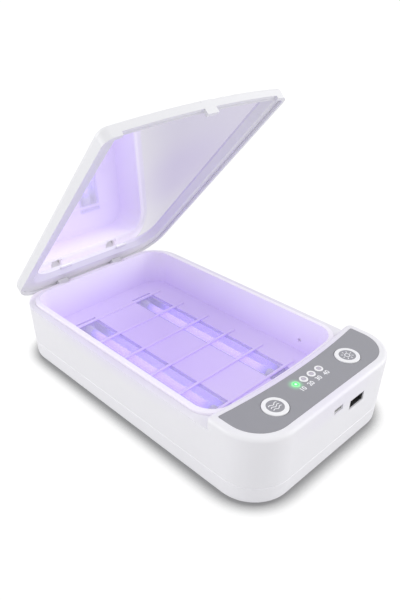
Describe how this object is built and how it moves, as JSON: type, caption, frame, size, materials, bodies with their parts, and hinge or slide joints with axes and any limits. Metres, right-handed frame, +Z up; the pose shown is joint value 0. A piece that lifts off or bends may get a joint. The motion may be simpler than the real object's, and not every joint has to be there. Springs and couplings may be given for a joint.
{
  "type": "uv sanitizer box for phones",
  "caption": "White clamshell box that cleans a phone with ultraviolet light, lid half open, grey panel with two round buttons and four lights.",
  "frame": {"origin": "centre of the bottom cover's flat underside; the four rubber feet stand 1.2 mm proud of it", "axes": "+Z up, -Y is the front with the control block and sockets, +Y the hinge, +X to the right seen from the front"},
  "size_m": [0.13, 0.2352, 0.1778],
  "materials": {
    "housing_white": "satin",
    "liner_white": "satin",
    "lid_white": "satin",
    "mirror": "polished",
    "panel_grey": "matte",
    "control_white": "gloss",
    "lens_grey": "gloss",
    "lens_lit": "glowing",
    "lamp_glass": "clear",
    "window_clear": "clear",
    "reflector": "bright",
    "bare_metal": "satin",
    "pin_steel": "ground",
    "screw_steel": "plated",
    "socket_metal": "plated",
    "socket_black": "matte",
    "plug_white": "matte",
    "plunger_black": "matte",
    "chip": "satin",
    "board_green": "satin",
    "ferrite": "matte",
    "capacitor_can": "sleeved",
    "wire_sleeve": "satin",
    "rubber": "matte",
    "felt": "soft"
  },
  "bodies": {
    "housing": {"upper_housing": "housing_white", "bottom_cover": "housing_white", "chamber_liner": "liner_white", "rest_ribs": "liner_white", "control_panel": "panel_grey", "led_rings": "control_white", "led_lenses": "lens_grey", "led_lens_lit": "lens_lit", "lamp_tube_left": "lamp_glass", "lamp_tube_right": "lamp_glass", "lamp_window_left": "window_clear", "lamp_window_right": "window_clear", "lamp_reflectors": "reflector", "lamp_electrodes": "bare_metal", "hinge_brackets": "bare_metal", "hinge_pins": "pin_steel", "cover_screws": "screw_steel", "board_screws": "screw_steel", "inverter_screws": "screw_steel", "usb_a_shell": "socket_metal", "charge_shell": "socket_metal", "usb_a_tongue": "socket_black", "charge_tongue": "socket_black", "tact_switches": "socket_black", "lid_sensor": "socket_black", "wire_headers": "plug_white", "led_chips": "chip", "control_board": "board_green", "inverter_board": "board_green", "transformer": "ferrite", "capacitor": "capacitor_can", "control_wires": "wire_sleeve", "lamp_wires": "wire_sleeve", "feet": "rubber", "lamp_caps": "rubber", "aroma_felt": "felt"},
    "lid": {"lid_shell": "lid_white", "lid_bezel": "lid_white", "lid_mirror": "mirror", "lid_magnet": "pin_steel", "hinge_arm_left": "lid_white", "hinge_arm_right": "lid_white", "hinge_screws": "screw_steel"},
    "button_left": {"button_cap_left": "control_white", "button_inlay_left": "panel_grey", "tact_plunger_left": "plunger_black"},
    "button_right": {"button_cap_right": "control_white", "button_inlay_right": "panel_grey", "tact_plunger_right": "plunger_black"}
  },
  "joints": [
    {"name": "lid_hinge", "type": "hinge", "parent": "housing", "child": "lid", "pos_m": [0, 0.1085, 0.031], "axis": [-1, 0, 0], "range_deg": [-46.5, 28.5]},
    {"name": "press_left", "type": "slide", "parent": "housing", "child": "button_left", "axis": [0, 0, -1], "range_m": [0, 0.0006], "stiffness_N_per_m": 300, "springref_m": -0.002},
    {"name": "press_right", "type": "slide", "parent": "housing", "child": "button_right", "axis": [0, 0, -1], "range_m": [0, 0.0006], "stiffness_N_per_m": 300, "springref_m": -0.002}
  ]
}
